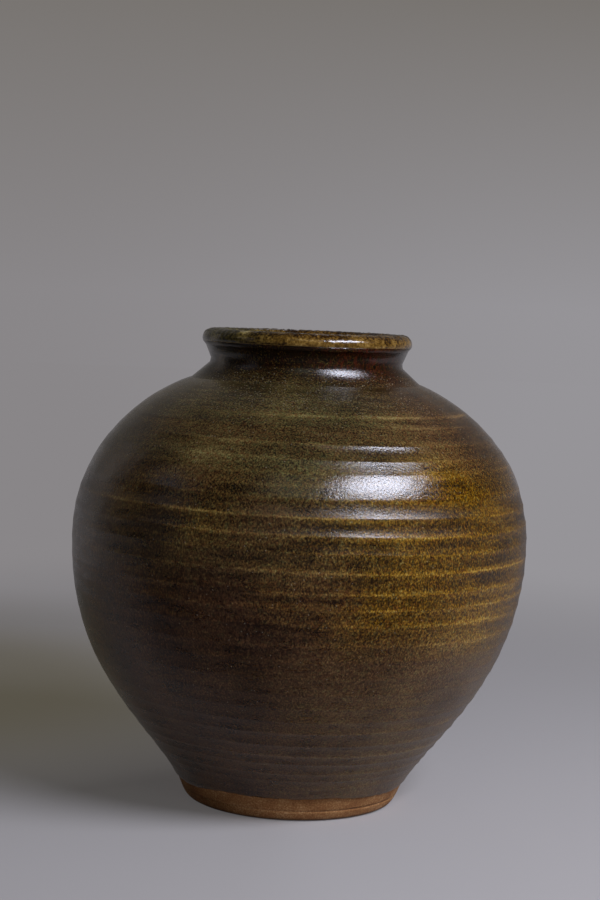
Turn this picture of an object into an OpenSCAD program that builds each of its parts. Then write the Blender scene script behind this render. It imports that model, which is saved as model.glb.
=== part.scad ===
// A round-bellied stoneware storage jar, built up from a clay slab and stacked
// clay rings, thrown smooth on the wheel and dressed in three coats of glaze.
// Every piece is a solid of revolution about the Z axis, which stands on the table.

/* [Body] */
// Height from the table to the top of the lip
height = 260; // [252:1:272]
// Diameter at the widest part of the belly
belly_d = 252; // [244:1:262]
// Height of the widest part of the belly
belly_h = 145; // [140:1:150]
// Diameter of the foot on the table
foot_d = 111; // [106:1:114]
// Diameter at the top of the bare clay band
band_d = 128.6; // [126:0.2:131]
// Outer diameter of the throat, the narrowest part of the neck
throat_d = 106; // [104:0.5:109]
// Outer diameter at the sharp lower edge of the lip
lip_d = 115.4; // [113:0.2:118]

/* [Walls] */
// Thickness of the clay wall at the belly
wall = 6; // [5:0.5:7]
// Thickness of the clay floor
floor_t = 9; // [8:0.5:10]
// Height of the bare clay band above the table
bare_h = 14; // [13:0.5:15]
// Clear diameter of the mouth, glaze included
mouth_d = 92; // [90:0.5:93]
// Depth of the hollow under the foot
foot_hollow = 1.5; // [0.5:0.5:3]

/* [Surface] */
// Thickness of the fused glaze coats
glaze_t = 0.8; // [0.5:0.1:1]
// Depth of the finger grooves between the throwing ridges
groove = 0.5; // [0.2:0.1:0.7]

/* [Hidden] */
$fn = 128;

// Colours of the fired clay, the two outer glazes and the lining
bare_clay = "#8c5a34";
iron_glaze = "#3f3019";
amber_glaze = "#7a5420";
lining_glaze = "#33261a";

// Heights of the landmarks along the outside, worked out from the height
shoulder_h = height - 29;
throat_h = height - 15.5;
lip_edge_h = height - 6.6;
lip_top_h = height - glaze_t;

// Radii of the clay under the glaze
belly_r = belly_d / 2 - glaze_t;
throat_r = throat_d / 2 - glaze_t;
lip_r = lip_d / 2 - glaze_t;
shoulder_r = throat_r + 14;
band_r = band_d / 2;
mouth_r = mouth_d / 2 + glaze_t;

// Slopes of the wall where its curves meet, as angles from the vertical
band_lean = 32;
shoulder_lean = 66.5;

// The straight stretch of the mouth, which a stopper or a liner can fill
mouth_low_h = height - 22;
mouth_high_h = height - 10;

// Heights of the ridges that the potter's fingers left, as shares of the height
ridge_shares = [
    0.081, 0.100, 0.117, 0.142, 0.162, 0.188, 0.219, 0.246, 0.277, 0.308, 0.342,
    0.377, 0.408, 0.448, 0.481, 0.512, 0.552, 0.588, 0.621, 0.656, 0.691, 0.738,
    0.762, 0.789, 0.820, 0.839
];
ridges = [for (share = ridge_shares) share * height];
groove_steps = 4;

// Heights on the outside at which one ring of clay was luted to the next
belly_seam = ridges[8];
shoulder_seam = ridges[16];
crown_seam = ridges[21];
neck_seam = height - 28.5;
lip_seam = height - 9;
// The lower seams climb by this much from the outside of the wall to the inside
bevel = 4;
// The neck was set on the crown, whose inside lies this much lower than its outside
neck_drop = 6;

// One stretch of a smooth outline: a cubic curve from a to d with handles b and c
function cubic(a, b, c, d, n) = [
    for (i = [0:n])
        let (t = i / n, s = 1 - t)
            s*s*s * a + 3*s*s*t * b + 3*s*t*t * c + t*t*t * d
];

// A unit step that leans from the vertical by an angle, outwards if it is positive
function lean(angle) = [sin(angle), cos(angle)];

function rest(list) = [for (i = [1:len(list) - 1]) list[i]];
function reversed(list) = [for (i = [len(list) - 1:-1:0]) list[i]];
function between(list, low, high) = [for (h = list) if (h > low - 0.001 && h < high + 0.001) h];

// The outside of the clay, from the table to the sharp edge of the lip
foot_point = [foot_d / 2, 0];
band_point = [band_r, bare_h];
belly_point = [belly_r, belly_h];
shoulder_point = [shoulder_r, shoulder_h];
throat_point = [throat_r, throat_h];
lip_point = [lip_r, lip_edge_h];
outside = concat(
    cubic(foot_point, foot_point + [4, 0.3], band_point - [3.8, 8.5], band_point, 16),
    rest(cubic(band_point, band_point + 33.5 * lean(band_lean),
               belly_point - [0, 70], belly_point, 40)),
    rest(cubic(belly_point, belly_point + [0, 50],
               shoulder_point - 26 * lean(-shoulder_lean), shoulder_point, 40)),
    rest(cubic(shoulder_point, shoulder_point + 2.5 * lean(-shoulder_lean),
               throat_point - [0, 10.5], throat_point, 16)),
    rest(cubic(throat_point, throat_point + [0, 3.7],
               lip_point - [2.1, 2.4], lip_point, 10))
);
outside_table = [for (p = outside) [p[1], p[0]]];

// Radius of the smooth outside at a height, and its normal in the (radius, height) plane
function outside_r(h) = lookup(h, outside_table);
function outside_normal(h) =
    let (dr = outside_r(h + 0.5) - outside_r(h - 0.5), n = norm([1, dr]))
        [1 / n, -dr / n];

// Depth of the finger groove at a height: a parabola between each two ridges
function groove_at(h) = max([
    for (i = [0:len(ridges) - 2])
        let (u = (h - ridges[i]) / (ridges[i + 1] - ridges[i]))
            (u > 0 && u < 1) ? groove * 4 * u * (1 - u) : 0
]);
function clay_point(h) = [outside_r(h) - groove_at(h), h];

// Heights at which the outside is drawn
slab_top = 6;
foot_levels = [0, 0.3, 1, 2.2, 4, slab_top, 10, bare_h, bare_h + 3];
ring_levels = concat(
    [for (i = [0:len(ridges) - 2]) for (k = [0:groove_steps - 1])
        ridges[i] + (ridges[i + 1] - ridges[i]) * k / groove_steps],
    [ridges[len(ridges) - 1]]
);
function steps(low, high, n) = [for (k = [1:n]) low + (high - low) * k / n];
neck_levels = concat(
    steps(ridges[len(ridges) - 1], neck_seam, 6), steps(neck_seam, lip_seam, 13)
);
outside_levels = concat(foot_levels, ring_levels, neck_levels, [lip_edge_h]);

// The inside of the clay: the outside brought in by the wall, then the straight mouth
function wall_at(h) = lookup(h, [[0, 9], [60, wall + 1], [belly_h, wall], [height, wall]]);
inside = concat(
    [for (h = [floor_t:5:shoulder_h]) [outside_r(h), h] - wall_at(h) * outside_normal(h)],
    [[mouth_r + 3.5, mouth_low_h - 4.5], [mouth_r + 0.9, mouth_low_h - 1.8],
     [mouth_r, mouth_low_h], [mouth_r, mouth_high_h]]
);
inside_table = [for (p = inside) [p[1], p[0]]];
function inside_point(h) = [lookup(h, inside_table), h];

// Heights at which the inside is drawn, with every seam among them
coil_h = floor_t + 11;
inside_seams = [
    floor_t, coil_h, belly_seam + bevel, shoulder_seam + bevel, crown_seam,
    neck_seam - neck_drop, mouth_low_h - 4.5, mouth_low_h - 1.8, mouth_low_h, mouth_high_h
];
inside_steps = [2, 8, 10, 7, 6, 2, 1, 1, 1];
inside_levels = concat(
    [floor_t],
    [for (i = [0:len(inside_steps) - 1])
        each steps(inside_seams[i], inside_seams[i + 1], inside_steps[i])]
);

// The smoothed coil in the inner corner, from the floor up to the wall
coil_foot = [inside_point(floor_t)[0] - 11, floor_t];
coil_face = cubic(coil_foot, coil_foot + [6, 0.2],
                  inside_point(coil_h) - 5 * lean(band_lean), inside_point(coil_h), 8);

// The rounded top of the lip, from its sharp lower edge over to the straight mouth
lip_crown = [lip_r - 4.6, lip_top_h];
lip_face = concat(
    cubic(lip_point, lip_point + [1.1, 2.6], lip_crown + [3.3, 0], lip_crown, 8),
    rest(cubic(lip_crown, lip_crown - [3, 0], [mouth_r, lip_top_h - 4],
               [mouth_r, mouth_high_h], 8))
);

// Moves each point of a line sideways, to the left of its direction
function side_step(line, i) =
    let (a = line[max(i - 1, 0)], b = line[min(i + 1, len(line) - 1)], d = b - a)
        [d[1], -d[0]] / norm(d);
function coat(line, t) = [for (i = [0:len(line) - 1]) line[i] + t * side_step(line, i)];

// Outer skin of the glaze: a thin rolled edge at the bare band, then its full depth
function glaze_depth(h) = lookup(h, [[bare_h, glaze_t * 0.6], [bare_h + 3, glaze_t]]);
function glaze_point(h) = clay_point(h) + glaze_depth(h) * outside_normal(h);
// The two outer glazes meet on the sharp edge of the lip
glaze_edge = lip_point + glaze_t * [0.95, -0.3];

module turned(outline) {
    rotate_extrude()
        polygon(outline);
}

// A ring of clay between two bevelled seams
module clay_ring(low, high, inner_low, inner_high) {
    turned(concat(
        [for (h = between(outside_levels, low, high)) clay_point(h)],
        reversed([for (h = between(inside_levels, inner_low, inner_high)) inside_point(h)])
    ));
}

module base_slab() {
    hollow_r = foot_d / 2 - 16;
    color(bare_clay)
        turned(concat(
            [[0, foot_hollow], [hollow_r, foot_hollow], [hollow_r + 3, 0]],
            [for (h = between(outside_levels, 0, slab_top)) clay_point(h)],
            [inside_point(floor_t), [0, floor_t]]
        ));
}

module corner_coil() {
    color(bare_clay)
        turned(concat(
            [for (h = between(inside_levels, floor_t, coil_h)) inside_point(h)],
            rest(reversed(coil_face))
        ));
}

module lower_wall() {
    color(bare_clay)
        clay_ring(slab_top, belly_seam, floor_t, belly_seam + bevel);
}

module belly_wall() {
    color(bare_clay)
        clay_ring(belly_seam, shoulder_seam, belly_seam + bevel, shoulder_seam + bevel);
}

module shoulder_wall() {
    color(bare_clay)
        clay_ring(shoulder_seam, crown_seam, shoulder_seam + bevel, crown_seam);
}

module crown_wall() {
    color(bare_clay)
        clay_ring(crown_seam, neck_seam, crown_seam, neck_seam - neck_drop);
}

module neck_collar() {
    color(bare_clay)
        clay_ring(neck_seam, lip_seam, neck_seam - neck_drop, mouth_high_h);
}

module lip_coil() {
    color(bare_clay)
        turned(concat([clay_point(lip_seam)], lip_face));
}

module outer_glaze() {
    covered = between(outside_levels, bare_h, lip_edge_h);
    color(iron_glaze)
        turned(concat(
            reversed([for (h = covered) clay_point(h)]),
            [for (h = between(covered, bare_h, lip_edge_h - 1)) glaze_point(h)],
            [glaze_edge]
        ));
}

module lip_glaze() {
    skin = coat(lip_face, glaze_t);
    color(amber_glaze)
        turned(concat(
            reversed(lip_face),
            [glaze_edge],
            [for (i = [1:len(skin) - 2]) skin[i]],
            [[mouth_r - glaze_t, mouth_high_h]]
        ));
}

module inner_glaze() {
    walls = [for (h = between(inside_levels, coil_h, mouth_high_h)) inside_point(h)];
    lining = concat([[0, floor_t], [coil_foot[0] / 2, floor_t]], coil_face, rest(walls));
    skin = coat(lining, -glaze_t);
    color(lining_glaze)
        turned(concat(
            lining,
            [[mouth_r - glaze_t, mouth_high_h], [mouth_r - glaze_t, mouth_low_h]],
            reversed([for (i = [1:len(skin) - 3]) skin[i]]),
            [[0, floor_t + glaze_t]]
        ));
}

base_slab();
corner_coil();
lower_wall();
belly_wall();
shoulder_wall();
crown_wall();
neck_collar();
lip_coil();
outer_glaze();
lip_glaze();
inner_glaze();
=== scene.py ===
"""A round-bellied stoneware jar with finger rings, dipped in a dark iron glaze.

Every piece is a surface worked out round the jar's axis. theta is the angle round the jar,
0 towards the camera and growing to the right. Lengths are millimetres until a mesh is made.
"""

import bpy
import numpy as np
from mathutils import Matrix, Vector


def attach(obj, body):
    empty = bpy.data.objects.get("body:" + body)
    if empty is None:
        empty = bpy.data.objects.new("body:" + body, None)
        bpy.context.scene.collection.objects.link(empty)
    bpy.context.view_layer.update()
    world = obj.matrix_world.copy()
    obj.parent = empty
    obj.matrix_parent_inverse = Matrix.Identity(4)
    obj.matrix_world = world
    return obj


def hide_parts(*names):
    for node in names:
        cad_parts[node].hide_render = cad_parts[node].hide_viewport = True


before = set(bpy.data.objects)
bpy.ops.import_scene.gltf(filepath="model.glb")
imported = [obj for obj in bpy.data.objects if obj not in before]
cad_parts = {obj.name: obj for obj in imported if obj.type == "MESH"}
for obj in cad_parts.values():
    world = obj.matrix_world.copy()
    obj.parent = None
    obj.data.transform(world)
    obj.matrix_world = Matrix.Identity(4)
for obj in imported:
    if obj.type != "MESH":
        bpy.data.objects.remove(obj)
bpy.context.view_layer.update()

MM = 0.001

# The jar's own measures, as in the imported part
HEIGHT = 260.0
GLAZE = 0.8
FLOOR = 9.0
FOOT_HOLLOW = 1.5
BARE_BAND = 14.0
SLAB_TOP = 6.0
LIP_EDGE = HEIGHT - 6.6
LIP_SEAM = HEIGHT - 9.0
LIP_TOP = HEIGHT - GLAZE
NECK_SEAM = HEIGHT - 28.5
NECK_DROP = 6.0
MOUTH_LOW = HEIGHT - 22.0
MOUTH_HIGH = HEIGHT - 10.0
MOUTH_R = 46.8
COIL_TOP = FLOOR + 11.0
BEVEL = 4.0

# Heights of the ridges between the finger grooves
RIDGES = HEIGHT * np.array([
    0.081, 0.100, 0.117, 0.142, 0.162, 0.188, 0.219, 0.246, 0.277, 0.308, 0.342, 0.377, 0.408,
    0.448, 0.481, 0.512, 0.552, 0.588, 0.621, 0.656, 0.691, 0.738, 0.762, 0.789, 0.820, 0.839,
])
BELLY_SEAM, SHOULDER_SEAM, CROWN_SEAM = RIDGES[8], RIDGES[16], RIDGES[21]

# Depth of the groove above each ridge: deep where the fingers pressed, faint in the middle
DEPTHS = np.array([
    0.26, 0.24, 0.44, 0.34, 0.46, 0.44, 0.40, 0.22, 0.20, 0.18, 0.18, 0.20, 0.28,
    0.34, 0.34, 0.40, 0.38, 0.42, 0.66, 0.52, 0.03, 0.21, 0.50, 0.24, 0.16,
])

# Where the glaze broke over a ridge: ridge, strength, and the arc it shows on in degrees
BROKEN_LINES = [
    (0, 0.20, 0, 80), (2, 0.30, -20, 80), (3, 0.15, -40, 70), (4, 0.55, -25, 85),
    (5, 0.25, 0, 80), (6, 0.40, 5, 75), (7, 0.15, 10, 80), (10, 0.10, -20, 60),
    (11, 0.30, -8, 8), (12, 0.30, -55, 10), (12, 0.40, 30, 66), (13, 0.60, 28, 66),
    (14, 0.75, 16, 60), (14, 0.25, -40, 10), (15, 0.60, -36, -20), (15, 0.60, -10, 38),
    (15, 0.35, 40, 74), (16, 0.90, -16, 40), (16, 1.00, 42, 80), (16, 0.35, -62, -20),
    (17, 0.30, -30, 70), (18, 0.80, -34, 50), (18, 0.60, 50, 84), (19, 0.90, -76, 14),
    (19, 0.30, 30, 80), (20, 0.35, -30, 20), (21, 0.25, -24, 10), (22, 0.50, -30, 0),
    (22, 0.55, 34, 62), (23, 0.60, -26, 12), (23, 0.40, 36, 70), (24, 0.55, 20, 60),
    (25, 0.35, -34, 0), (25, 0.90, -6, 80),
    (4, 0.40, 130, 250), (13, 0.50, 110, 230), (15, 0.70, 120, 260), (17, 0.60, 140, 280),
    (19, 0.80, 100, 240), (22, 0.60, 150, 250), (25, 0.80, 120, 230),
]


def cubic(a, b, c, d, n):
    """A cubic curve from a to d with handles b and c, as n + 1 points."""
    a, b, c, d = (np.asarray(p, float) for p in (a, b, c, d))
    t = np.linspace(0, 1, n + 1)[:, None]
    return (1 - t) ** 3 * a + 3 * (1 - t) ** 2 * t * b + 3 * (1 - t) * t ** 2 * c + t ** 3 * d


def lean(degrees):
    """A unit step that leans from the vertical, outwards if degrees is positive."""
    return np.array([np.sin(np.radians(degrees)), np.cos(np.radians(degrees))])


def smooth(x, low, high):
    """Climbs from 0 at low to 1 at high, level at both ends: 3t squared less 2t cubed."""
    t = np.clip((x - low) / (high - low), 0, 1)
    return t * t * (3 - 2 * t)


def between(x, low, high, edge):
    """1 between low and high, falling smoothly to 0 over edge outside them."""
    return smooth(x, low - edge, low) * (1 - smooth(x, high, high + edge))


def arc(theta, start, end, edge=14.0):
    """1 between two angles in degrees, falling to 0 over edge degrees at each of them."""
    middle, half = (start + end) / 2, (end - start) / 2
    away = np.abs((np.degrees(theta) - middle + 180) % 360 - 180)
    return 1 - smooth(away, half - edge / 2, half + edge / 2)


# The smooth outside of the clay: foot, lower body, shoulder, fillet of the neck, throat
FOOT_P = np.array([55.5, 0.0])
BAND_P = np.array([64.3, BARE_BAND])
BELLY_P = np.array([125.2, 145.0])
SHOULDER_P = np.array([66.2, HEIGHT - 29])
THROAT_P = np.array([52.2, HEIGHT - 15.5])
LIP_P = np.array([56.9, LIP_EDGE])
CROWN_P = np.array([LIP_P[0] - 4.6, LIP_TOP])
OUTSIDE = np.vstack([
    cubic(FOOT_P, FOOT_P + [4, 0.3], BAND_P - [3.8, 8.5], BAND_P, 60),
    cubic(BAND_P, BAND_P + 33.5 * lean(32), BELLY_P - [0, 70], BELLY_P, 200)[1:],
    cubic(BELLY_P, BELLY_P + [0, 50], SHOULDER_P - 26 * lean(-66.5), SHOULDER_P, 200)[1:],
    cubic(SHOULDER_P, SHOULDER_P + 2.5 * lean(-66.5), THROAT_P - [0, 10.5], THROAT_P, 60)[1:],
    cubic(THROAT_P, THROAT_P + [0, 3.7], LIP_P - [2.1, 2.4], LIP_P, 40)[1:],
])
SLOPE = np.gradient(OUTSIDE[:, 0], OUTSIDE[:, 1] + 1e-6 * np.arange(len(OUTSIDE)))

# Where the two outer glazes meet, on the sharp edge of the lip
GLAZE_EDGE = LIP_P + GLAZE * np.array([0.95, -0.3])


def outside_r(h):
    """Radius of the smooth clay outside at height h."""
    return np.interp(h, OUTSIDE[:, 1], OUTSIDE[:, 0])


def outside_normal(h):
    """Outward normal of the smooth outside at height h, as its radial and upward parts."""
    slope = np.clip(np.interp(h, OUTSIDE[:, 1], SLOPE), -6, 6)
    length = np.sqrt(1 + slope ** 2)
    return 1 / length, -slope / length


def ripples(theta, h, size, seed, count=28):
    """A sum of cosine waves that run every way over the jar and close after a whole turn.

    size is their typical length; the result has a spread of about 1.
    """
    rng = np.random.default_rng(seed)
    total = np.zeros(np.broadcast(theta, h).shape)
    for _ in range(count):
        way = rng.uniform(0, np.pi)
        turns = np.round(2 * np.pi * 105 / size * np.cos(way) * rng.uniform(0.6, 1.4))
        climb = 2 * np.pi / size * np.sin(way) * rng.uniform(0.6, 1.4)
        total += np.cos(turns * theta + climb * h + rng.uniform(0, 2 * np.pi))
    return total / np.sqrt(count / 2)


def ring_tilt(theta, level):
    """How far a ring runs off level: down to the right in front, with a slow waver."""
    waver = 0.25 * np.sin(2 * theta + level / 17) + 0.12 * np.sin(3 * theta - level / 9)
    return between(level, 36, 206, 15) * (waver - 0.86 * np.sin(theta))


def swell(theta, h):
    """How far the thrown wall wanders from a true circle: two broad bulges and slow ripples."""
    shoulder = 0.55 * np.exp(-((h - 195) / 24) ** 2) * np.sin(theta)
    lower = -0.40 * np.exp(-((h - 85) / 26) ** 2) * np.sin(theta)
    return shoulder + lower + 0.10 * ripples(theta, h, 160, 3) * between(h, 40, 232, 18)


def ring_below(level):
    """The number of the ridge below each level."""
    return np.clip(np.searchsorted(RIDGES, level, side="right") - 1, 0, len(DEPTHS) - 1)


def grooves(theta, level):
    """Depth of the finger groove: a parabola, 4u(1 - u), between each two ridges.

    The fingers pressed unevenly, so a groove is deeper on some arcs. A rib wiped the wall
    round 85 degrees to the left and, on the upper half, to the right, and left it shallow.
    """
    ring = ring_below(level)
    u = np.clip((level - RIDGES[ring]) / (RIDGES[ring + 1] - RIDGES[ring]), 0, 1)
    press = 0.88 + 0.12 * np.cos(theta - 0.9) + 0.18 * np.sin(theta * 3 + ring * 2.9)
    wiped = 0.6 * arc(theta, -120, -50, 50)
    wiped = wiped + 0.35 * arc(theta, 66, 110, 30) * smooth(level, 110, 150)
    return DEPTHS[ring] * 4 * u * (1 - u) * press * (1 - wiped)


def ridge_distance(level):
    """Height from a level to the nearest ridge."""
    ring = ring_below(level)
    return np.minimum(np.abs(level - RIDGES[ring]), np.abs(RIDGES[ring + 1] - level))


def broken_at(theta, level):
    """How strongly the glaze broke over the nearest ridge: the listed arcs, made patchy."""
    nearest = np.argmin(np.abs(level[..., None] - RIDGES), axis=-1)
    total = np.zeros(np.broadcast(theta, level).shape)
    for ridge, strength, start, end in BROKEN_LINES:
        total = np.maximum(total, (nearest == ridge) * strength * arc(theta, start, end))
    patchy = 0.75 + 0.25 * ripples(theta, nearest * 31.0, 55, 8)
    return total * np.clip(patchy, 0.25, 1.1)


# Heights of the mesh rows on the outside; the rows of a ring crowd at its ridges
RING_SHARES = (0, 0.07, 0.16, 0.3, 0.5, 0.7, 0.84, 0.93)
LEVELS = np.concatenate([
    [0, 0.25, 0.7, 1.4, 2.3, 3.4, 4.6, SLAB_TOP, 7.5, 9.2, 11, 12.6],
    [BARE_BAND, 14.3, 14.8, 15.5, 16.4, 17.5, 18.8, 20],
    (RIDGES[:-1, None] + np.diff(RIDGES)[:, None] * RING_SHARES).ravel(),
    np.linspace(RIDGES[-1], NECK_SEAM, 9),
    np.linspace(NECK_SEAM, LIP_SEAM, 17)[1:],
    [LIP_EDGE],
])


def rows_between(low, high):
    """The mesh rows from low to high as a column, both ends among them."""
    inner = LEVELS[(LEVELS > low + 0.01) & (LEVELS < high - 0.01)]
    return np.concatenate([[low], inner, [high]])[:, None]


def around(turns):
    """Angles of the mesh columns, as a row."""
    return (np.arange(turns) / turns * 2 * np.pi - np.pi)[None, :]


def clay_skin(theta, level, raised=0.0, shift=0.0):
    """Radius and height on the outside of the clay, or raised above it along its normal.

    A ring's level is tilted to its height, the smooth outline and its wander give the radius,
    and the groove is taken off along the normal. shift moves a row up or down the outline.
    """
    h = level + ring_tilt(theta, level) + shift
    out, up = outside_normal(h)
    depth = raised - grooves(theta, level)
    return outside_r(h) + swell(theta, h) + out * depth, h + up * depth


def inside_line():
    """The inside of the clay: the outside brought in by the wall, then the straight mouth."""
    h = np.linspace(FLOOR, NECK_SEAM - NECK_DROP, 120)
    out, up = outside_normal(h + 3)
    wall = np.interp(h, [0, 60, 145, 226], [9.0, 7.0, 6.0, 6.0])
    brought = np.stack([outside_r(h) - wall * out, h - wall * up], axis=1)
    brought = brought[brought[:, 1] > FLOOR]
    corner = [np.interp(FLOOR, brought[:, 1], brought[:, 0]), FLOOR]
    knee = brought[-1]
    throat = cubic(knee, knee + 7 * lean(-64), [MOUTH_R, MOUTH_LOW - 5], [MOUTH_R, MOUTH_LOW], 20)
    return np.vstack([corner, brought, throat[1:], [MOUTH_R, MOUTH_HIGH]])


INSIDE = inside_line()
CORNER_R = INSIDE[0, 0]
COIL_HIGH = np.array([np.interp(COIL_TOP, INSIDE[:, 1], INSIDE[:, 0]), COIL_TOP])
COIL_LOW = np.array([CORNER_R - 11, FLOOR])
COIL_FACE = cubic(COIL_LOW, COIL_LOW + [6, 0.2], COIL_HIGH - 5 * lean(32), COIL_HIGH, 14)

# The rounded lip, from its sharp lower edge over the top to the straight mouth
LIP_FACE = np.vstack([
    cubic(LIP_P, LIP_P + [1.1, 2.6], CROWN_P + [3.3, 0], CROWN_P, 26),
    cubic(CROWN_P, CROWN_P - [3, 0], [MOUTH_R, LIP_TOP - 4], [MOUTH_R, MOUTH_HIGH], 22)[1:],
])


def clay_inside(theta, h):
    """Radius and height on the inside of the wall, which wanders as the outside does."""
    return np.interp(h, INSIDE[:, 1], INSIDE[:, 0]) + swell(theta, h), h + 0 * theta


def stepped_out(line, distance):
    """A line moved sideways by distance, to the right of its direction."""
    along = np.gradient(line, axis=0)
    along /= np.linalg.norm(along, axis=1)[:, None]
    return line + distance * np.stack([along[:, 1], -along[:, 0]], axis=1)


def turned_rows(theta, line):
    """The points of a line turned round the axis, with the wall's wander added."""
    r, z = np.asarray(line, float).T[:, :, None]
    return r + swell(theta, z) * (r > 20), z + 0 * theta


def joined_rows(*rows):
    """Rows of (radius, height) stacked into one pair."""
    return np.vstack([row[0] for row in rows]), np.vstack([row[1] for row in rows])


def piece(name, rows, material, poles=False, fields=None):
    """A closed surface from rows of (radius, height), each as long as the turn.

    A point lies at (r sin theta, -r cos theta, z). The rows go up the outside and down the
    inside. The last one joins the first, or with poles both close on the axis in a fan.
    fields are values by point, which the material reads.
    """
    r, z = rows
    count, turns = r.shape
    theta = around(turns)
    grid = np.stack([r * np.sin(theta), -r * np.cos(theta), z], axis=-1).reshape(-1, 3) * MM
    here = np.arange(count * turns).reshape(count, turns)
    if not poles:
        here = np.vstack([here, here[:1]])
    low, high = here[:-1], here[1:]
    quads = np.stack([low, np.roll(low, -1, 1), np.roll(high, -1, 1), high], -1).reshape(-1, 4)
    corners, starts = quads.ravel(), np.arange(len(quads)) * 4
    if poles:
        first, last = len(grid), len(grid) + 1
        grid = np.vstack([grid, np.array([[0, 0, z[0, 0]], [0, 0, z[-1, 0]]]) * MM])
        fans = np.vstack([
            np.stack([np.full(turns, first), np.roll(here[0], -1), here[0]], -1),
            np.stack([here[-1], np.roll(here[-1], -1), np.full(turns, last)], -1),
        ])
        starts = np.concatenate([starts, len(corners) + np.arange(len(fans)) * 3])
        corners = np.concatenate([corners, fans.ravel()])
    mesh = bpy.data.meshes.new(name)
    mesh.vertices.add(len(grid))
    mesh.vertices.foreach_set("co", grid.astype(np.float32).ravel())
    mesh.loops.add(len(corners))
    mesh.loops.foreach_set("vertex_index", corners.astype(np.int32))
    mesh.polygons.add(len(starts))
    mesh.polygons.foreach_set("loop_start", starts.astype(np.int32))
    mesh.polygons.foreach_set("use_smooth", np.ones(len(starts), bool))
    mesh.update(calc_edges=True)
    mesh.validate()
    for key, values in (fields or {}).items():
        size, kind, slot_name = (3, "FLOAT_VECTOR", "vector") if values.ndim == 3 else (
            1, "FLOAT", "value")
        layer = mesh.attributes.new(key, kind, "POINT")
        layer.data.foreach_set(slot_name, values.reshape(-1, size).astype(np.float32).ravel())
    mesh.materials.append(material)
    made = bpy.data.objects.new(name, mesh)
    bpy.context.scene.collection.objects.link(made)
    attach(made, "root")
    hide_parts(name)
    return made


# Colours and materials


def colour(hex_code):
    """An sRGB hex colour as linear values with full cover."""
    parts = np.array([int(hex_code[i:i + 2], 16) for i in (1, 3, 5)]) / 255
    linear = np.where(parts <= 0.04045, parts / 12.92, ((parts + 0.055) / 1.055) ** 2.4)
    return (*linear.tolist(), 1.0)


def add(tree, kind, inputs=None, stops=None, **settings):
    """Adds one node with its settings and the stops of its ramp, and fills its live inputs.

    An input is named, or numbered where names repeat. A node given as its value is linked by
    the first live output.
    """
    made = tree.nodes.new(kind)
    for key, value in settings.items():
        setattr(made, key, value)
    for place, shade in stops or []:
        at = made.color_ramp.elements
        stop = at[0] if place == 0 else at[-1] if place == 1 else at.new(place)
        stop.color = colour(shade)
    live = [socket for socket in made.inputs if socket.enabled]
    for key, value in (inputs or {}).items():
        socket = live[key] if isinstance(key, int) else next(s for s in live if s.name == key)
        if isinstance(value, bpy.types.Node):
            value = next(s for s in value.outputs if s.enabled)
        if isinstance(value, bpy.types.NodeSocket):
            tree.links.new(value, socket)
        else:
            socket.default_value = value
    return made


def new_material(name):
    """An empty node material, as (material, tree)."""
    made = bpy.data.materials.new(name)
    made.use_nodes = True
    made.node_tree.nodes.clear()
    return made, made.node_tree


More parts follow.
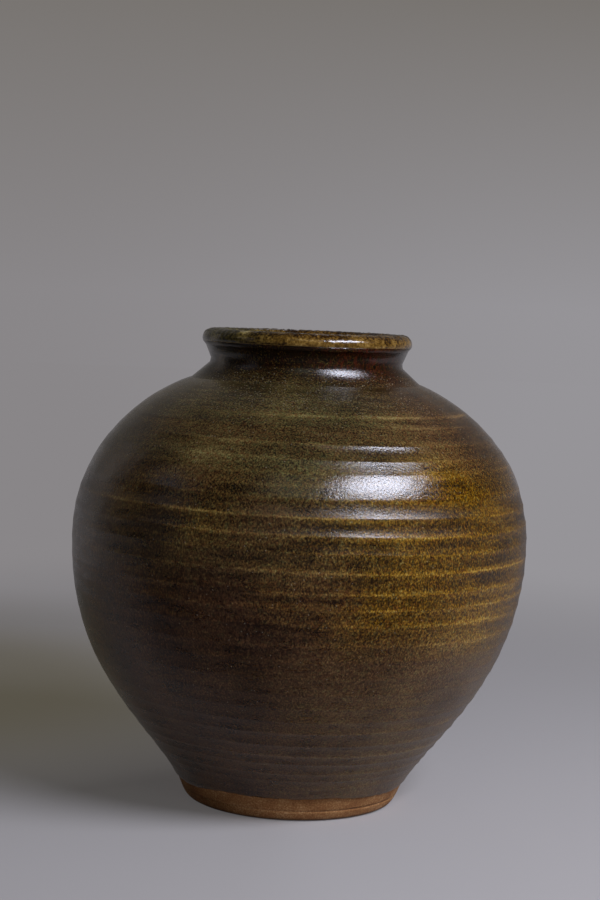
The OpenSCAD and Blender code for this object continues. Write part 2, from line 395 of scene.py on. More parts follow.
def iron_glaze_material():
    """Tenmoku-like iron and ash glaze, dipped: black-brown where it is thick, amber where thin.

    It ran a little as it melted, so its grain is drawn out down the wall in short streaks. It
    breaks to yellow over the ridges, lies in level bands where the fingers ribbed the wall,
    and turns olive where ash gathered. An olive patch just left of the main highlight is a painted
    sheen, the lower right is partly lightened as painted bounce light, and some pale specks stand
    in for painted glints. Fired glossy, with an orange-peel skin that ruffles the edges of a
    highlight.
    """
    material, tree = new_material("iron_ash_glaze_dipped")
    flow = add(tree, "ShaderNodeAttribute", attribute_name="flow").outputs["Vector"]
    thin, ash, red, olive, ribs, satin, rarity, crest, broken = (
        add(tree, "ShaderNodeAttribute", attribute_name=key).outputs["Fac"] for key in (
            "thin", "ash", "red", "olive", "ribs", "satin", "rarity", "crest", "broken"))

    # Grain of iron crystals 0.85 mm apart, drawn out down the wall to 1.3 mm. Real crystals
    # are about 0.3 mm, which is too fine to show
    drawn = add(tree, "ShaderNodeMapping", {"Vector": flow, "Scale": (1, 1, 0.66)})
    grain = add(tree, "ShaderNodeTexNoise", {
        "Vector": drawn, "Scale": 1 / (0.85 * MM), "Detail": 2.0, "Roughness": 0.65})
    # Level bands 2.8 mm high and some 56 mm long, from the ribbing of the wall
    ribbed = add(tree, "ShaderNodeMapping", {"Vector": flow, "Scale": (0.05, 0.05, 1)})
    bands = add(tree, "ShaderNodeTexNoise", {
        "Vector": ribbed, "Scale": 1 / (2.8 * MM), "Detail": 3.0, "Roughness": 0.6})
    # Clouds of about 14 mm by 5 mm, where the dip was uneven
    drifted = add(tree, "ShaderNodeMapping", {"Vector": flow, "Scale": (0.45, 0.45, 1.3)})
    clouds = add(tree, "ShaderNodeTexNoise", {
        "Vector": drifted, "Scale": 1 / (6.5 * MM), "Detail": 3.0, "Roughness": 0.6})

    # A fine line on the ridge and a wider blush round it
    line = add(tree, "ShaderNodeMapRange", {
        "Value": crest, "From Min": 0.95, "From Max": 0.1, "To Min": 0.0, "To Max": 0.21},
        interpolation_type="SMOOTHSTEP")
    lifted = add(tree, "ShaderNodeMapRange", {
        "Value": crest, "From Min": 3.2, "From Max": 0.0, "To Min": 0.0, "To Max": 0.13},
        interpolation_type="SMOOTHSTEP")
    lifted = add(tree, "ShaderNodeMath", {0: line, 1: lifted}, operation="ADD")
    lifted = add(tree, "ShaderNodeMath", {0: lifted, 1: broken, 2: thin},
                 operation="MULTIPLY_ADD")

    # How thin the coat is at each point: grain counts most where the coat is thin
    grain_share = add(tree, "ShaderNodeMapRange", {
        "Value": ash, "From Min": 0.0, "From Max": 1.0, "To Min": 1.65, "To Max": 1.12})
    for noise, share in ((bands, ribs), (clouds, 0.30), (grain, grain_share)):
        centred = add(tree, "ShaderNodeMath", {0: noise, 1: 0.5}, operation="SUBTRACT")
        lifted = add(tree, "ShaderNodeMath", {0: centred, 1: share, 2: lifted},
                     operation="MULTIPLY_ADD")
    clear = add(tree, "ShaderNodeValToRGB", {"Fac": lifted}, stops=[
        (0, "#0b0602"), (0.25, "#2c1a01"), (0.5, "#5c3e02"), (0.75, "#8e650a"), (1, "#bb9636")])
    ashy = add(tree, "ShaderNodeValToRGB", {"Fac": lifted}, stops=[
        (0, "#150b06"), (0.25, "#361f10"), (0.5, "#604124"), (0.75, "#86683e"), (1, "#ac9264")])
    mossy = add(tree, "ShaderNodeValToRGB", {"Fac": lifted}, stops=[
        (0, "#0f0e08"), (0.25, "#2a2816"), (0.5, "#55502c"), (0.75, "#807a48"), (1, "#aaa476")])
    rusty = add(tree, "ShaderNodeValToRGB", {"Fac": lifted}, stops=[
        (0, "#0a0403"), (0.3, "#220b05"), (0.6, "#54200e"), (1, "#8c4a1e")])

    # Redder and greener grains side by side, 1.7 mm apart
    mottle = add(tree, "ShaderNodeTexNoise", {
        "Vector": flow, "Scale": 1 / (1.7 * MM), "Detail": 2.0, "Roughness": 0.6})
    ruddy = add(tree, "ShaderNodeMapRange", {
        "Value": mottle, "From Min": 0.51, "From Max": 0.67, "To Min": 0.0, "To Max": 0.52})
    green = add(tree, "ShaderNodeMapRange", {
        "Value": mottle, "From Min": 0.46, "From Max": 0.30, "To Min": 0.0, "To Max": 0.5})
    green = add(tree, "ShaderNodeMath", {0: green, 1: olive}, operation="ADD", use_clamp=True)
    base = add(tree, "ShaderNodeMix", {"Factor": ash, "A": clear, "B": ashy}, data_type="RGBA")
    base = add(tree, "ShaderNodeMix", {"Factor": green, "A": base, "B": mossy},
               data_type="RGBA")
    base = add(tree, "ShaderNodeMix", {"Factor": ruddy, "A": base, "B": rusty},
               data_type="RGBA")

    # On the neck the coat is thick and ran in red-brown threads 1.6 mm apart
    threads = add(tree, "ShaderNodeMapping", {"Vector": flow, "Scale": (1, 1, 0.12)})
    threads = add(tree, "ShaderNodeTexNoise", {
        "Vector": threads, "Scale": 1 / (1.6 * MM), "Detail": 2.0, "Roughness": 0.6})
    threads = add(tree, "ShaderNodeMapRange", {
        "Value": threads, "From Min": 0.40, "From Max": 0.66, "To Min": 0.0, "To Max": 1.0})
    threads = add(tree, "ShaderNodeMath", {0: threads, 1: red}, operation="MULTIPLY")
    base = add(tree, "ShaderNodeMix", {
        "Factor": threads, "A": base, "B": colour("#4a1b0b")}, data_type="RGBA")

    # Pale specks 0.6 mm across: unmelted ash, thick round the foot of the neck and rare below,
    # where some also stand in for painted glints; real ash specks are half as wide
    cells = add(tree, "ShaderNodeTexVoronoi", {"Vector": flow, "Scale": 1 / (1.5 * MM)})
    chance = add(tree, "ShaderNodeSeparateColor", {"Color": cells.outputs["Color"]})
    chosen = add(tree, "ShaderNodeMath", {0: chance, 1: rarity}, operation="GREATER_THAN")
    dot = add(tree, "ShaderNodeMapRange", {
        "Value": cells.outputs["Distance"], "From Min": 0.26, "From Max": 0.12, "To Min": 0.0,
        "To Max": 0.5})
    speck = add(tree, "ShaderNodeMath", {0: dot, 1: chosen}, operation="MULTIPLY")
    base = add(tree, "ShaderNodeMix", {
        "Factor": speck, "A": base, "B": colour("#a49c88")}, data_type="RGBA")

    # Orange peel: dimples 1.3 mm apart, with the grain as a finer grit on them
    peel = add(tree, "ShaderNodeTexNoise", {
        "Vector": flow, "Scale": 1 / (1.3 * MM), "Detail": 3.0, "Roughness": 0.6})
    relief = add(tree, "ShaderNodeMath", {0: grain, 1: 0.6, 2: peel}, operation="MULTIPLY_ADD")
    bump = add(tree, "ShaderNodeBump", {
        "Height": relief, "Strength": 1.0, "Distance": 0.115 * MM})
    gloss = add(tree, "ShaderNodeMapRange", {
        "Value": clouds, "From Min": 0.3, "From Max": 0.7, "To Min": 0.15, "To Max": 0.24})
    gloss = add(tree, "ShaderNodeMath", {0: satin, 1: 0.20, 2: gloss}, operation="MULTIPLY_ADD")
    shader = add(tree, "ShaderNodeBsdfPrincipled", {
        "Base Color": base, "Roughness": gloss, "IOR": 1.52, "Normal": bump})
    add(tree, "ShaderNodeOutputMaterial", {"Surface": shader})
    return material


def lip_glaze_material():
    """The same glaze pulled thin over the lip: mottled amber with dark drops, glossy.

    Its lower edge is a fine pale line where the glaze drew back from the sharp arris.
    """
    material, tree = new_material("amber_glaze_thin_on_lip")
    flow = add(tree, "ShaderNodeAttribute", attribute_name="flow").outputs["Vector"]
    thin, arris, olive = (add(tree, "ShaderNodeAttribute", attribute_name=key).outputs["Fac"]
                          for key in ("thin", "arris", "olive"))
    # Drops 1.9 mm apart that the glaze gathered in, and grains 1 mm apart
    drops = add(tree, "ShaderNodeTexNoise", {
        "Vector": flow, "Scale": 1 / (1.9 * MM), "Detail": 2.0, "Roughness": 0.6})
    grains = add(tree, "ShaderNodeTexNoise", {
        "Vector": flow, "Scale": 1 / (1.0 * MM), "Detail": 1.0})
    lifted = thin
    for noise, share in ((drops, 0.85), (grains, 0.7)):
        centred = add(tree, "ShaderNodeMath", {0: noise, 1: 0.5}, operation="SUBTRACT")
        lifted = add(tree, "ShaderNodeMath", {0: centred, 1: share, 2: lifted},
                     operation="MULTIPLY_ADD")
    base = add(tree, "ShaderNodeValToRGB", {"Fac": lifted}, stops=[
        (0, "#100804"), (0.3, "#2c1a08"), (0.55, "#64481a"), (0.8, "#927238"), (1, "#b59c62")])
    mossy = add(tree, "ShaderNodeValToRGB", {"Fac": lifted}, stops=[
        (0, "#0f0d06"), (0.3, "#2a2713"), (0.55, "#514a24"), (0.8, "#7b7342"), (1, "#aaa272")])
    base = add(tree, "ShaderNodeMix", {"Factor": olive, "A": base, "B": mossy},
               data_type="RGBA")
    line = add(tree, "ShaderNodeMapRange", {
        "Value": arris, "From Min": 0.8, "From Max": 0.25, "To Min": 0.0, "To Max": 0.75},
        interpolation_type="SMOOTHSTEP")
    base = add(tree, "ShaderNodeMix", {"Factor": line, "A": base, "B": colour("#8d7243")},
               data_type="RGBA")
    bump = add(tree, "ShaderNodeBump", {
        "Height": drops, "Strength": 0.7, "Distance": 0.15 * MM})
    shader = add(tree, "ShaderNodeBsdfPrincipled", {
        "Base Color": base, "Roughness": 0.17, "IOR": 1.52, "Normal": bump})
    add(tree, "ShaderNodeOutputMaterial", {"Surface": shader})
    return material


def lining_glaze_material():
    """A thin dark wash poured round the inside: brown-black, satin, streaked where it ran."""
    material, tree = new_material("iron_wash_poured_inside")
    place = add(tree, "ShaderNodeTexCoord").outputs["Object"]
    # Runs 3 mm wide and 10 mm long
    drawn = add(tree, "ShaderNodeMapping", {"Vector": place, "Scale": (1, 1, 0.3)})
    streaks = add(tree, "ShaderNodeTexNoise", {
        "Vector": drawn, "Scale": 1 / (3 * MM), "Detail": 4.0, "Roughness": 0.6})
    base = add(tree, "ShaderNodeValToRGB", {"Fac": streaks}, stops=[
        (0, "#1b120a"), (0.42, "#392817"), (0.6, "#5a4021"), (1, "#7d5b30")])
    bump = add(tree, "ShaderNodeBump", {
        "Height": streaks, "Strength": 0.4, "Distance": 0.12 * MM})
    shader = add(tree, "ShaderNodeBsdfPrincipled", {
        "Base Color": base, "Roughness": 0.36, "IOR": 1.5, "Normal": bump})
    add(tree, "ShaderNodeOutputMaterial", {"Surface": shader})
    return material


def bare_clay_material():
    """Unglazed iron-bearing stoneware, turned and wiped: orange-brown, dry and gritty.

    Fine turning lines run round it, grog shows as pale and dark grains, and the lowest 2.6 mm
    darken to the arris of the foot: partly an iron-dark edge, partly painted contact shade.
    """
    material, tree = new_material("grogged_stoneware_bare")
    place = add(tree, "ShaderNodeTexCoord").outputs["Object"]
    patches = add(tree, "ShaderNodeTexNoise", {
        "Vector": place, "Scale": 1 / (9 * MM), "Detail": 3.0})
    # Turning lines 0.9 mm apart, and grains of grog as far apart
    turned = add(tree, "ShaderNodeMapping", {"Vector": place, "Scale": (0.05, 0.05, 1)})
    lines = add(tree, "ShaderNodeTexNoise", {
        "Vector": turned, "Scale": 1 / (0.9 * MM), "Detail": 2.0})
    grog = add(tree, "ShaderNodeTexNoise", {
        "Vector": place, "Scale": 1 / (0.9 * MM), "Detail": 2.0, "Roughness": 0.7})
    tone = add(tree, "ShaderNodeMix", {"Factor": 0.62, "A": patches, "B": grog})
    base = add(tree, "ShaderNodeValToRGB", {"Fac": tone}, stops=[
        (0, "#56300f"), (0.40, "#7f5025"), (0.52, "#9a6a3a"), (0.64, "#b98f60"), (1, "#cfb38a")])
    split = add(tree, "ShaderNodeSeparateXYZ", {"Vector": place})
    # The lowest 2.6 mm are darker: partly an iron-dark edge, partly painted contact shade where the
    # foot meets the floor
    dark_edge_and_shade = add(tree, "ShaderNodeMapRange", {
        "Value": split.outputs["Z"], "From Min": 2.6 * MM, "From Max": 0.2 * MM, "To Min": 0.0,
        "To Max": 0.8}, interpolation_type="SMOOTHSTEP")
    base = add(tree, "ShaderNodeMix", {"Factor": dark_edge_and_shade, "A": base, "B": colour("#2a190e")},
               data_type="RGBA")
    relief = add(tree, "ShaderNodeMath", {0: grog, 1: 1.4, 2: lines}, operation="MULTIPLY_ADD")
    bump = add(tree, "ShaderNodeBump", {
        "Height": relief, "Strength": 0.7, "Distance": 0.1 * MM})
    shader = add(tree, "ShaderNodeBsdfPrincipled", {
        "Base Color": base, "Roughness": 0.82, "IOR": 1.45, "Normal": bump})
    add(tree, "ShaderNodeOutputMaterial", {"Surface": shader})
    return material


BARE_CLAY = bare_clay_material()
IRON_GLAZE = iron_glaze_material()
LIP_GLAZE = lip_glaze_material()
LINING_GLAZE = lining_glaze_material()

# Columns of the mesh: on the surfaces that show, in the mouth, and on the hidden clay
FINE, MOUTH, HIDDEN = 352, 256, 176


def clay_ring(name, turns, low, high, inside_low, inside_high):
    """A ring of clay: up its outside from one seam to the next, then down its inside."""
    theta = around(turns)
    inner = np.linspace(inside_high, inside_low, 12)[:, None]
    rows = joined_rows(clay_skin(theta, rows_between(low, high)), clay_inside(theta, inner))
    piece(name, rows, BARE_CLAY)


def base_slab():
    """The slab: its hollow underside, the foot it stands on, its turned side and the floor."""
    theta = around(FINE)
    under = [[6, FOOT_HOLLOW], [20, FOOT_HOLLOW], [36, FOOT_HOLLOW], [39.5, FOOT_HOLLOW],
             [40.6, 0.9], [42.5, 0.05], [43.5, 0], [48, 0], [53, 0]]
    top = [[CORNER_R, FLOOR], [38, FLOOR], [20, FLOOR], [6, FLOOR]]
    rows = joined_rows(turned_rows(theta, under), clay_skin(theta, rows_between(0, SLAB_TOP)),
                       turned_rows(theta, top))
    piece("base_slab", rows, BARE_CLAY, poles=True)


def corner_coil():
    """The coil smoothed into the inner corner: along the floor, up the wall, down its face."""
    theta = around(HIDDEN)
    along_floor = [[r, FLOOR] for r in np.linspace(COIL_LOW[0], CORNER_R, 5)]
    up_wall = clay_inside(theta, np.linspace(FLOOR + 1, COIL_TOP, 8)[:, None])
    rows = joined_rows(turned_rows(theta, along_floor), up_wall,
                       turned_rows(theta, COIL_FACE[-2:0:-1]))
    piece("corner_coil", rows, BARE_CLAY)


def lip_coil():
    """The coil of the lip: its seam on the collar, then round its face to the mouth."""
    theta = around(HIDDEN)
    rows = joined_rows(clay_skin(theta, np.array([[LIP_SEAM]])), turned_rows(theta, LIP_FACE))
    piece("lip_coil", rows, BARE_CLAY)


def flow_field(theta, r, z):
    """Coordinates for the runs of the glaze: round the jar, and down along its wall."""
    step = np.hypot(np.diff(r, axis=0), np.diff(z, axis=0))
    down = np.vstack([np.zeros((1, r.shape[1])), np.cumsum(step, axis=0)])
    around_r = np.maximum(r, 30)
    return np.stack([around_r * np.sin(theta), -around_r * np.cos(theta), down], -1) * MM


def coat_fields(theta, level):
    """How the dip varies over the wall, each value from 0 to 1.

    thin is how thin the coat is, ash, red and olive are its colours, ribs is how far the ribbing
    shows, satin how dull the gloss is, and rarity how rare its specks are. thin also holds painted
    bounce light on the lower right, and olive a painted sheen just left of the main highlight.
    Each is a sum of arcs round the jar times smooth steps up it, with slow ripples.
    """
    wander = 6 * ripples(theta, 0, 90, 33, 6)
    neck = smooth(level, 233.5, 238.5)
    right = arc(theta, -2, 150, 64)
    drop = 18 * arc(theta, 14, 90, 50)
    front = arc(theta, 4, 82, 54) * smooth(level + wander + drop, 98, 130)
    front = front * (1 - 0.88 * smooth(level + wander, 174, 208))
    left = 0.30 * arc(theta, -62, -4, 44) * between(level + wander, 146, 184, 26)
    behind = 0.7 * arc(theta, 120, 235, 60) * between(level + wander, 130, 186, 32)
    amber = np.maximum(np.maximum(front, left), behind)
    low = 1 - smooth(level, 80, 130)
    # The low term lightens the lower right: partly the coat's own colour, partly painted bounce
    # light from the floor
    thin = 0.295 + 0.22 * amber + (0.20 * right + 0.005) * low - 0.21 * neck
    thin = thin - 0.085 * amber * smooth(ridge_distance(level), 0.8, 3.4)
    thin = thin - 0.05 * arc(theta, 58, 100, 24) * smooth(level, 120, 140)
    thin = thin + 0.05 * arc(theta, -110, -20, 40) * between(level, 195, 260, 15)
    thin = thin + 0.05 * arc(theta, 30, 76, 30) * between(level, 108, 128, 12)
    thin = thin + 0.05 * arc(theta, -36, 46, 30) * between(level, 192, 220, 10)
    thin = thin + 0.025 * ripples(theta, level, 45, 31)
    ash = 1 - 1.15 * amber + 0.10 * ripples(theta, level, 38, 35)
    red = neck * np.clip(0.20 + 0.55 * arc(theta, 12, 56, 30), 0, 1)
    # Painted sheen: an olive patch in the main highlight's band, just left of it, stands in for a
    # soft reflection
    olive = 0.25 * arc(theta, -12, 10, 20) * between(level, 181, 194, 7)
    olive = olive + 0.30 * arc(theta, -60, 16, 60) * between(level, 150, 190, 24)
    olive = olive + 0.38 * arc(theta, -120, 30, 60) * between(level, 200, 260, 14)
    olive = olive + 0.25 * arc(theta, -70, 30, 40) * between(level, 216, 234, 6)
    olive = olive + 0.16 * right * low + 0.10 * right * smooth(level, 190, 206) * (1 - neck)
    ribs = 0.16 + 0.30 * between(level, 120, 176, 26) + 0.14 * smooth(level, 176, 200)
    satin = (1 - smooth(level, 172, 183)) * (0.5 + 0.5 * arc(theta, 30, 90, 16))
    satin = satin + 0.18 * between(level, 194, 199, 2.5)
    # The rare specks below the neck's foot are partly painted glints
    rarity = 0.95 - 0.55 * between(level, 224, 235, 9) + neck
    fields = {"thin": thin, "ash": ash * (1 - neck), "red": red, "olive": olive,
              "ribs": ribs, "satin": satin, "rarity": rarity}
    shape = np.broadcast(theta, level).shape
    return {key: np.clip(np.broadcast_to(value, shape), 0, 1) for key, value in fields.items()}


def outer_glaze():
    """The dipped coat: its skin over the grooves, its edge on the lip, its back on the clay.

    The skin stands off the clay by the coat's depth: a rounded roll at the bare band, then
    the full depth with slow ripples, a little less where it broke over a ridge.
    """
    theta = around(FINE)
    edge_wave = 0.45 * ripples(theta, 0, 60, 11, 8) + 0.12 * ripples(theta, 0, 14, 12, 10)
    edge_wave = edge_wave - 2.4 * np.sin(theta) ** 2
    level = rows_between(BARE_BAND, LIP_EDGE)[:-1]
    rise = level - BARE_BAND
    full = smooth(rise, 2, 12)
    depth = GLAZE * (0.35 + 0.65 * smooth(rise, 0, 1.5)) + 0.25 * np.exp(-((rise - 2) / 1.3) ** 2)
    depth = depth + full * (0.045 * ripples(theta, level, 26, 21)
                            + 0.018 * ripples(theta, level, 9, 22, 40))
    ridge = 1 - smooth(ridge_distance(level), 0, 1.5)
    depth = depth - 0.12 * broken_at(theta, level) * ridge
    back = rows_between(BARE_BAND, LIP_EDGE)[::-1][8::9]
    rows = joined_rows(
        clay_skin(theta, level, depth, edge_wave * (1 - smooth(level, BARE_BAND, 21))),
        turned_rows(theta, [GLAZE_EDGE, LIP_P]),
        clay_skin(theta, back, 0.0, edge_wave * (1 - smooth(back, BARE_BAND, 21))),
        clay_skin(theta, np.array([[BARE_BAND]]), 0.0, edge_wave),
    )
    every = np.vstack([level, [[LIP_EDGE], [LIP_EDGE]], back, [[BARE_BAND]]])
    fields = coat_fields(theta, every)
    fields["flow"] = flow_field(theta, *rows)
    fields["crest"] = ridge_distance(every) + 0 * theta
    fields["broken"] = broken_at(theta, every)
    piece("outer_glaze", rows, IRON_GLAZE, fields=fields)


def lip_glaze():
    """The coat over the lip: its face moved out by the coat's depth, ragged along the top.

    The raggedness is a fall of fine ripples off the crown, with one shallow bare chip.
    """
    theta = around(FINE)
    degrees = np.degrees(theta)
    skin = stepped_out(LIP_FACE, GLAZE)[1:-1]
    lip_r, lip_z = turned_rows(theta, skin)
    along = np.cumsum(np.hypot(*np.diff(skin, axis=0, prepend=skin[:1]).T))[:, None]
    crown = np.exp(-((lip_z - HEIGHT) / 3.0) ** 2)
    ragged = crown * (0.10 * ripples(theta, along, 9, 41, 40)
                      + 0.12 * ripples(theta, along, 4.5, 42, 40))
    chip = -0.35 * np.exp(-((degrees + 38) / 3.5) ** 2) * crown
    back = LIP_FACE[::-4]
    rows = joined_rows(
        turned_rows(theta, [GLAZE_EDGE]),
        (lip_r + 0.4 * ragged, np.minimum(lip_z + 0.8 * ragged, HEIGHT + 0.3) + chip),
        turned_rows(theta, [[MOUTH_R - GLAZE, MOUTH_HIGH]]),
        turned_rows(theta, back),
    )
    arris = np.concatenate([[0], along[:, 0] + 0.7, np.full(1 + len(back), 30.0)])[:, None]
    thin = 0.47 + 0.12 * arc(theta, -4, 70, 50) + 0.08 * ripples(theta, arris, 18, 43)
    thin = thin - 0.16 * between(arris, 7, 12, 3) - 0.14 * smooth(arris, 14, 22)
    bare = np.exp(-((degrees + 38) / 3.0) ** 2) * between(arris, 8, 11, 3)
    shape = np.broadcast(theta, arris).shape
    piece("lip_glaze", rows, LIP_GLAZE, fields={
        "flow": flow_field(theta, *rows),
        "thin": thin + 0.5 * bare,
        "arris": np.broadcast_to(arris, shape),
        "olive": np.broadcast_to(0.9 * arc(theta, -150, -30, 60), shape),
    })


def inner_glaze():
    """The poured wash: the line of floor, coil, wall and mouth, moved in by the coat's depth.

    Shallow finger rings, a cosine 11 mm long that winds round the wall, are left in it.
    """
    theta = around(MOUTH)
    wall_h = np.linspace(COIL_TOP, MOUTH_LOW, 90)[1:]
    lining = np.vstack([
        [[5, FLOOR], [14, FLOOR], [24, FLOOR], [COIL_LOW[0] - 4, FLOOR]], COIL_FACE,
        np.stack([np.interp(wall_h, INSIDE[:, 1], INSIDE[:, 0]), wall_h], 1),
        [[MOUTH_R, MOUTH_LOW + 4], [MOUTH_R, MOUTH_HIGH]],
    ])
    skin = stepped_out(lining, -GLAZE)[::-1]
    skin[0] = [MOUTH_R - GLAZE, MOUTH_HIGH]
    skin_r, skin_z = turned_rows(theta, skin)
    rings = 0.22 * (np.cos(2 * np.pi * skin_z / 11 + theta) - 1) * between(skin_z, 40, 215, 20)
    rows = joined_rows(turned_rows(theta, lining[::3]), turned_rows(theta, lining[-1:]),
                       (skin_r + rings, skin_z))
    piece("inner_glaze", rows, LINING_GLAZE, poles=True)


# The clay, from the table up
base_slab()
corner_coil()
clay_ring("lower_wall", FINE, SLAB_TOP, BELLY_SEAM, FLOOR, BELLY_SEAM + BEVEL)
clay_ring("belly_wall", HIDDEN, BELLY_SEAM, SHOULDER_SEAM, BELLY_SEAM + BEVEL,
          SHOULDER_SEAM + BEVEL)
clay_ring("shoulder_wall", HIDDEN, SHOULDER_SEAM, CROWN_SEAM, SHOULDER_SEAM + BEVEL, CROWN_SEAM)
clay_ring("crown_wall", HIDDEN, CROWN_SEAM, NECK_SEAM, CROWN_SEAM, NECK_SEAM - NECK_DROP)
clay_ring("neck_collar", HIDDEN, NECK_SEAM, LIP_SEAM, NECK_SEAM - NECK_DROP, MOUTH_HIGH)
lip_coil()

# The three coats of glaze
outer_glaze()
lip_glaze()
inner_glaze()


# The backdrop's grey, lighter on the side of the key light
BACKDROP_LEFT, BACKDROP_RIGHT = "#898688", "#969498"


def side_light(tree, way):
    """A node that climbs from 0 on the left of the backdrop to 1 on its right."""
    return add(tree, "ShaderNodeMapRange", {
        "Value": way.outputs["X"], "From Min": -0.18, "From Max": 0.18},
        interpolation_type="SMOOTHSTEP")


def sharp_rays(tree):
    """1 for the rays that see the room itself: the camera's, mirrored ones and those let through.

    The rest only carry diffuse light.
    """
    rays = add(tree, "ShaderNodeLightPath").outputs
    seen = add(tree, "ShaderNodeMath", {0: rays["Is Camera Ray"], 1: rays["Is Glossy Ray"]},
               operation="MAXIMUM")
    return add(tree, "ShaderNodeMath", {0: seen, 1: rays["Is Transmission Ray"]},
               operation="MAXIMUM")


def floor_material():
    """A pale floor that fades into the grey behind it, so that no edge shows.

    Near the jar most of it is lit cloth, which keeps the jar's shadow; the rest is a flat grey
    glow, painted light that lifts that shadow. A round dark patch to the left behind the jar is
    painted shadow.
    """
    material, tree = new_material("pale_floor")
    place = add(tree, "ShaderNodeTexCoord").outputs["Object"]
    away = add(tree, "ShaderNodeVectorMath", {0: place}, operation="LENGTH").outputs["Value"]
    cloth = add(tree, "ShaderNodeBsdfDiffuse", {"Color": colour("#c4c0bd")})

    # Share of flat grey glow in the floor: 0.3 within 0.3 m of the jar, painted light that lifts
    # the jar's shadow, and all of it 1 m out, where the floor turns into backdrop
    far = add(tree, "ShaderNodeMapRange", {
        "Value": away, "From Min": 0.30, "From Max": 1.0, "To Min": 0.3},
        interpolation_type="SMOOTHSTEP")
    # A painted shadow to the left behind the jar: a round soft dark olive patch, about 0.6 m
    # across, where the glow takes over from the lit cloth
    painted_shadow_distance = add(tree, "ShaderNodeVectorMath", {0: place, 1: (-0.27, 0.26, 0)},
               operation="DISTANCE").outputs["Value"]
    shade = add(tree, "ShaderNodeMapRange", {
        "Value": painted_shadow_distance, "From Min": 0.46, "From Max": 0.10, "To Min": 0.0, "To Max": 0.80},
        interpolation_type="SMOOTHSTEP")
    far = add(tree, "ShaderNodeMath", {0: far, 1: shade}, operation="MAXIMUM")
    far = add(tree, "ShaderNodeMath", {0: far, 1: sharp_rays(tree)}, operation="MULTIPLY")
    way = add(tree, "ShaderNodeVectorMath", {0: place}, operation="NORMALIZE")
    way = add(tree, "ShaderNodeSeparateXYZ", {"Vector": way})
    grey = add(tree, "ShaderNodeMix", {
        "Factor": side_light(tree, way), "A": colour(BACKDROP_LEFT),
        "B": colour(BACKDROP_RIGHT)}, data_type="RGBA")
    # The painted shadow's dark olive, mixed into the grey of the glow
    grey = add(tree, "ShaderNodeMix", {
        "Factor": shade, "A": grey, "B": colour("#4f4931")}, data_type="RGBA")
    backdrop_glow = add(tree, "ShaderNodeEmission", {"Color": grey, "Strength": 1.0})
    both = add(tree, "ShaderNodeMixShader", {0: far, 1: cloth, 2: backdrop_glow})
    add(tree, "ShaderNodeOutputMaterial", {"Surface": both})
    return material


def black_cloth_material(name, start, end, cover):
    """Black cloth that thickens from nothing at Y start to its full cover at Y end."""
    material, tree = new_material(name)
    place = add(tree, "ShaderNodeTexCoord").outputs["Object"]
    split = add(tree, "ShaderNodeSeparateXYZ", {"Vector": place})
    thick = add(tree, "ShaderNodeMapRange", {
        "Value": split.outputs["Y"], "From Min": start, "From Max": end, "To Min": 0.0,
        "To Max": cover}, interpolation_type="SMOOTHSTEP")
    open_weave = add(tree, "ShaderNodeBsdfTransparent")
    black = add(tree, "ShaderNodeBsdfDiffuse", {"Color": colour("#101010")})
    both = add(tree, "ShaderNodeMixShader", {0: thick, 1: open_weave, 2: black})
    add(tree, "ShaderNodeOutputMaterial", {"Surface": both})
    return material


def sheet(name, grid, material):
    """A sheet of the set through a grid of points, in metres."""
    rows, columns = grid.shape[:2]
    first = np.arange(rows * columns).reshape(rows, columns)[:-1, :-1].ravel()
    mesh = bpy.data.meshes.new(name)
    mesh.from_pydata(
        grid.reshape(-1, 3).tolist(), [],
        np.stack([first, first + 1, first + columns + 1, first + columns], -1).tolist())
    mesh.materials.append(material)
    made = bpy.data.objects.new(name, mesh)
    bpy.context.scene.collection.objects.link(made)
    return made


def pale_floor():
    """A level sheet 12 m wide, in 24 by 24 squares."""
    x, y = np.meshgrid(np.linspace(-6, 6, 25), np.linspace(-6, 6, 25))
    sheet("floor", np.stack([x, y, 0 * x], -1), floor_material())


def black_flags():
    """A black tent and a black card on the floor, which keep the front of the room dim.

    A photographer hangs them round a glossy pot. They show only where the glaze mirrors them:
    the tent is a half ball round the jar, thick in front and open at the back, and the card
    lies in front of the jar.
    """
    radius, reach = 2.0, 1.5
    turn, climb = np.meshgrid(np.linspace(0, 2 * np.pi, 65), np.linspace(0, np.pi / 2, 17))
    ball = np.stack([np.sin(turn) * np.cos(climb), np.cos(turn) * np.cos(climb), np.sin(climb)], -1)
    tent = sheet("black_tent", radius * ball,
                 black_cloth_material("black_net", radius, -0.2, 0.94))
    x, y = np.meshgrid(np.linspace(-reach, reach, 7), np.linspace(-reach, 0, 7))
    card = sheet("black_card", np.stack([x, y, 0 * x + 0.5 * MM], -1),
                 black_cloth_material("black_card", 0.0, -0.2, 0.92))
    for made in (tent, card):
        made.visible_camera = made.visible_diffuse = made.visible_shadow = False


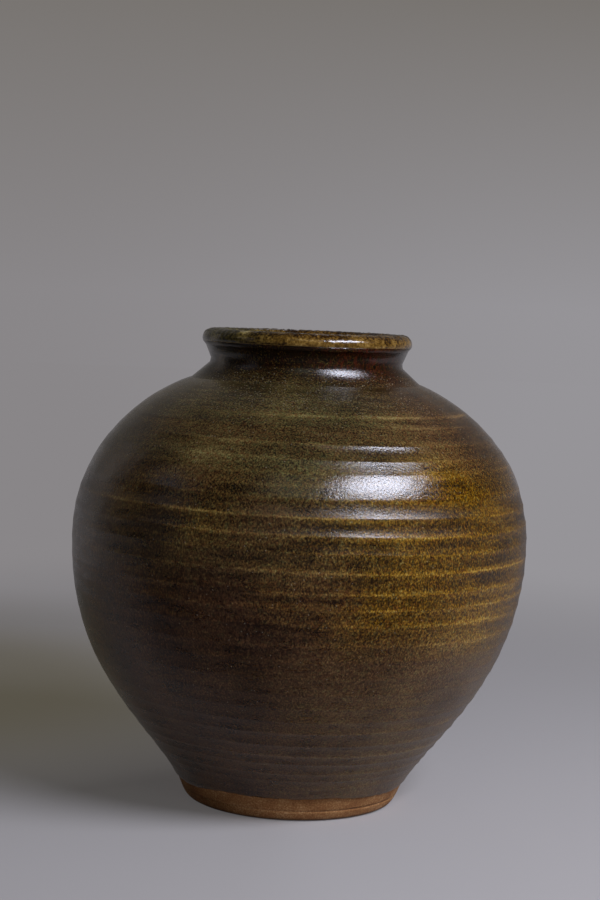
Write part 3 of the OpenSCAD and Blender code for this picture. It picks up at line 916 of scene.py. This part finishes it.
def studio():
    """The room: a grey backdrop, painted lighter on the key light's side and darker upwards, and a
    fill of soft light from behind and overhead.
    """
    world = bpy.data.worlds.new("studio")
    bpy.context.scene.world = world
    world.use_nodes = True
    tree = world.node_tree
    tree.nodes.clear()
    way = add(tree, "ShaderNodeTexCoord").outputs["Generated"]
    split = add(tree, "ShaderNodeSeparateXYZ", {"Vector": way})
    behind = add(tree, "ShaderNodeMapRange", {
        "Value": split.outputs["Y"], "From Min": -0.25, "From Max": 0.85, "To Min": 0.11,
        "To Max": 0.52}, interpolation_type="SMOOTHSTEP")
    from_right = add(tree, "ShaderNodeMapRange", {
        "Value": split.outputs["X"], "From Min": -0.9, "From Max": 0.9, "To Min": 0.7,
        "To Max": 0.86}, interpolation_type="SMOOTHSTEP")
    overhead = add(tree, "ShaderNodeMapRange", {
        "Value": split.outputs["Z"], "From Min": 0.55, "From Max": 0.95, "To Min": 0.7,
        "To Max": 1.6}, interpolation_type="SMOOTHSTEP")
    strength = add(tree, "ShaderNodeMath", {0: behind, 1: from_right}, operation="MULTIPLY")
    strength = add(tree, "ShaderNodeMath", {0: strength, 1: overhead}, operation="MULTIPLY")
    fill = add(tree, "ShaderNodeBackground", {"Color": colour("#8b898a"), "Strength": strength})
    # The backdrop is painted darker higher up: painted shade where the light falls off
    climb = add(tree, "ShaderNodeMapRange", {
        "Value": split.outputs["Z"], "From Min": 0.0, "From Max": 0.16})
    grey = add(tree, "ShaderNodeMix", {
        "Factor": side_light(tree, split), "A": colour(BACKDROP_LEFT),
        "B": colour(BACKDROP_RIGHT)}, data_type="RGBA")
    grey = add(tree, "ShaderNodeMix", {
        "Factor": climb, "A": grey, "B": colour("#77736f")}, data_type="RGBA")
    shown = add(tree, "ShaderNodeBackground", {"Color": grey, "Strength": 1.0})
    both = add(tree, "ShaderNodeMixShader", {0: sharp_rays(tree), 1: fill, 2: shown})
    add(tree, "ShaderNodeOutputWorld", {"Surface": both})


def soft_light(name, azimuth, elevation, distance, size, watts, shade):
    """A soft box: azimuth in degrees to the right of the camera, elevation above the floor."""
    a, e = np.radians(azimuth), np.radians(elevation)
    middle = Vector((0, 0, 0.17))
    step = Vector((np.sin(a) * np.cos(e), -np.cos(a) * np.cos(e), np.sin(e)))
    lamp = bpy.data.lights.new(name, "AREA")
    lamp.shape, lamp.size, lamp.size_y = "ELLIPSE", *size
    lamp.energy, lamp.color = watts, colour(shade)[:3]
    made = bpy.data.objects.new(name, lamp)
    made.location = middle + distance * step
    made.rotation_euler = (-step).to_track_quat("-Z", "Y").to_euler()
    made.visible_camera = False
    bpy.context.scene.collection.objects.link(made)


pale_floor()
black_flags()
studio()

# Angles in degrees, distance and size in metres, power in watts
soft_light("key", 46.5, 40.8, 1.2, (0.80, 0.26), 15.2, "#ebeeff")
soft_light("left_card", -120, 10, 0.9, (0.26, 0.75), 0.11, "#ffeee0")
soft_light("left_strip", -66, 18, 1.2, (0.22, 0.70), 0.06, "#eef0ff")
soft_light("left_lamp", -78, 30, 1.2, (0.40, 0.16), 0.08, "#dfe8ff")
soft_light("front_card", -4, 41, 1.2, (0.50, 0.25), 0.26, "#fbffe0")
soft_light("top_card", 171, 51, 1.2, (0.16, 0.14), 0.14, "#f3f2ff")

# The camera stands a metre off, looks down a little and leans to one side, in degrees
CAMERA_PLACE = (-0.00162, -1.0524, 0.2784)
LOOKS_DOWN, LEANS = 4.575, 2.335

camera_data = bpy.data.cameras.new("camera")
camera_data.sensor_width, camera_data.lens = 36.0, 76.0
camera = bpy.data.objects.new("camera", camera_data)
bpy.context.scene.collection.objects.link(camera)
camera.location = CAMERA_PLACE
aim = (Matrix.Rotation(np.radians(90 - LOOKS_DOWN), 4, "X")
       @ Matrix.Rotation(np.radians(LEANS), 4, "Z"))
camera.rotation_euler = aim.to_euler()
bpy.context.scene.camera = camera

bpy.context.scene.view_settings.view_transform = "Standard"
